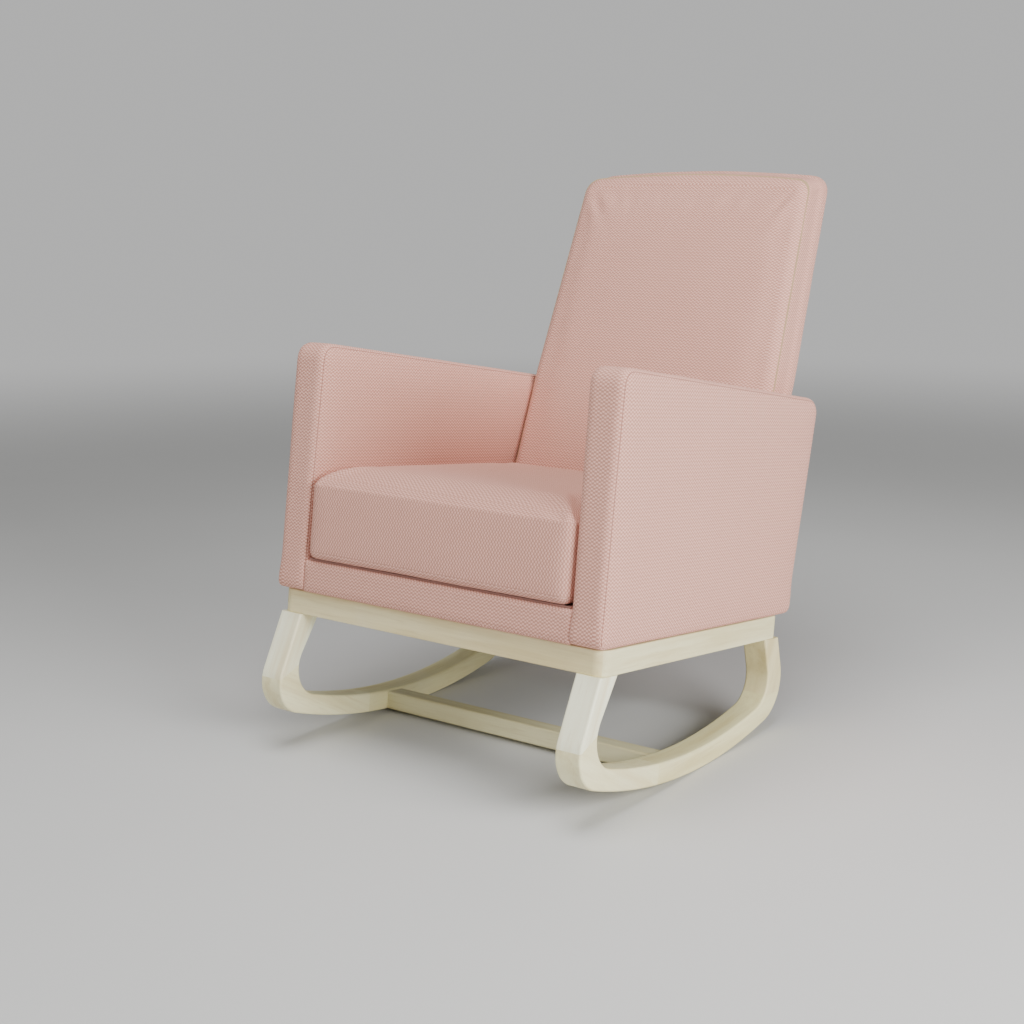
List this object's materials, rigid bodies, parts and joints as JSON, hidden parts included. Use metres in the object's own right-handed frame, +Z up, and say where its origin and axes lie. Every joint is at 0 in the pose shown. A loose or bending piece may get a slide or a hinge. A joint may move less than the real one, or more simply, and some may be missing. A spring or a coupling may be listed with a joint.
{
  "type": "nursery rocking chair",
  "caption": "Upholstered nursery rocking chair with a loose boxed seat cushion, panel arms and a raked back, on a wooden plinth with D-shaped rockers.",
  "frame": {"origin": "on the floor under the middle of the chair's outline at rest", "axes": "+Z up, the sitter faces -Y, +X to the right as seen from in front"},
  "size_m": [0.668, 0.9565, 0.9862],
  "materials": {
    "pink_fabric": "dusty pink woven upholstery with a small honeycomb weave, matt",
    "whitewashed_wood": "whitewashed pale hardwood, satin",
    "frame_wood": "raw sawn frame timber, matt",
    "zinc_steel": "zinc plated steel",
    "spring_steel": "tempered spring wire",
    "zip_metal": "nickel plated zip metal",
    "zip_tape": "woven polyester tape",
    "lining_cloth": "black spun lining cloth",
    "webbing": "jute webbing",
    "foam": "open cell polyurethane foam"
  },
  "bodies": {
    "chair": {"arm_bolts": "zinc_steel", "arm_left_bottom_rail": "frame_wood", "arm_left_edge_strip": "pink_fabric", "arm_left_front_post": "frame_wood", "arm_left_inner_panel": "pink_fabric", "arm_left_outer_panel": "pink_fabric", "arm_left_rear_post": "frame_wood", "arm_left_top_rail": "frame_wood", "arm_right_bottom_rail": "frame_wood", "arm_right_edge_strip": "pink_fabric", "arm_right_front_post": "frame_wood", "arm_right_inner_panel": "pink_fabric", "arm_right_outer_panel": "pink_fabric", "arm_right_rear_post": "frame_wood", "arm_right_top_rail": "frame_wood", "back_bolts": "zinc_steel", "back_bottom_rail": "frame_wood", "back_foam": "foam", "back_front_cover": "pink_fabric", "back_left_stile": "frame_wood", "back_lumbar_rail": "frame_wood", "back_rear_cover": "pink_fabric", "back_right_stile": "frame_wood", "back_top_rail": "frame_wood", "back_webbing": "webbing", "dust_cover": "lining_cloth", "front_panel": "pink_fabric", "plinth_corner_blocks": "frame_wood", "plinth_front_rail": "whitewashed_wood", "plinth_left_rail": "whitewashed_wood", "plinth_rear_rail": "whitewashed_wood", "plinth_right_rail": "whitewashed_wood", "rocker_bolts": "zinc_steel", "rocker_left_front_leg": "whitewashed_wood", "rocker_left_heel": "whitewashed_wood", "rocker_left_runner": "whitewashed_wood", "rocker_left_toe": "whitewashed_wood", "rocker_right_front_leg": "whitewashed_wood", "rocker_right_heel": "whitewashed_wood", "rocker_right_runner": "whitewashed_wood", "rocker_right_toe": "whitewashed_wood", "rocker_stretcher": "whitewashed_wood", "rocker_threaded_inserts": "zinc_steel", "seat_deck": "lining_cloth", "seat_front_rail": "frame_wood", "seat_left_rail": "frame_wood", "seat_rear_rail": "frame_wood", "seat_right_rail": "frame_wood", "seat_springs": "spring_steel", "spring_clips": "spring_steel", "stretcher_dowels": "frame_wood"},
    "cushion": {"cushion_bottom_panel": "pink_fabric", "cushion_boxing": "pink_fabric", "cushion_foam_core": "foam", "cushion_top_panel": "pink_fabric", "zip_tape": "zip_tape"},
    "zip_slider": {"zip_slider": "zip_metal", "zip_pull": "zip_metal"}
  },
  "joints": [
    {"name": "cushion_lift", "type": "slide", "parent": "chair", "child": "cushion", "axis": [0, 0.1236, 0.9923], "range_m": [0, 0.35]},
    {"name": "zip_slide", "type": "slide", "parent": "cushion", "child": "zip_slider", "axis": [1, 0, 0], "range_m": [0, 0.43]}
  ]
}
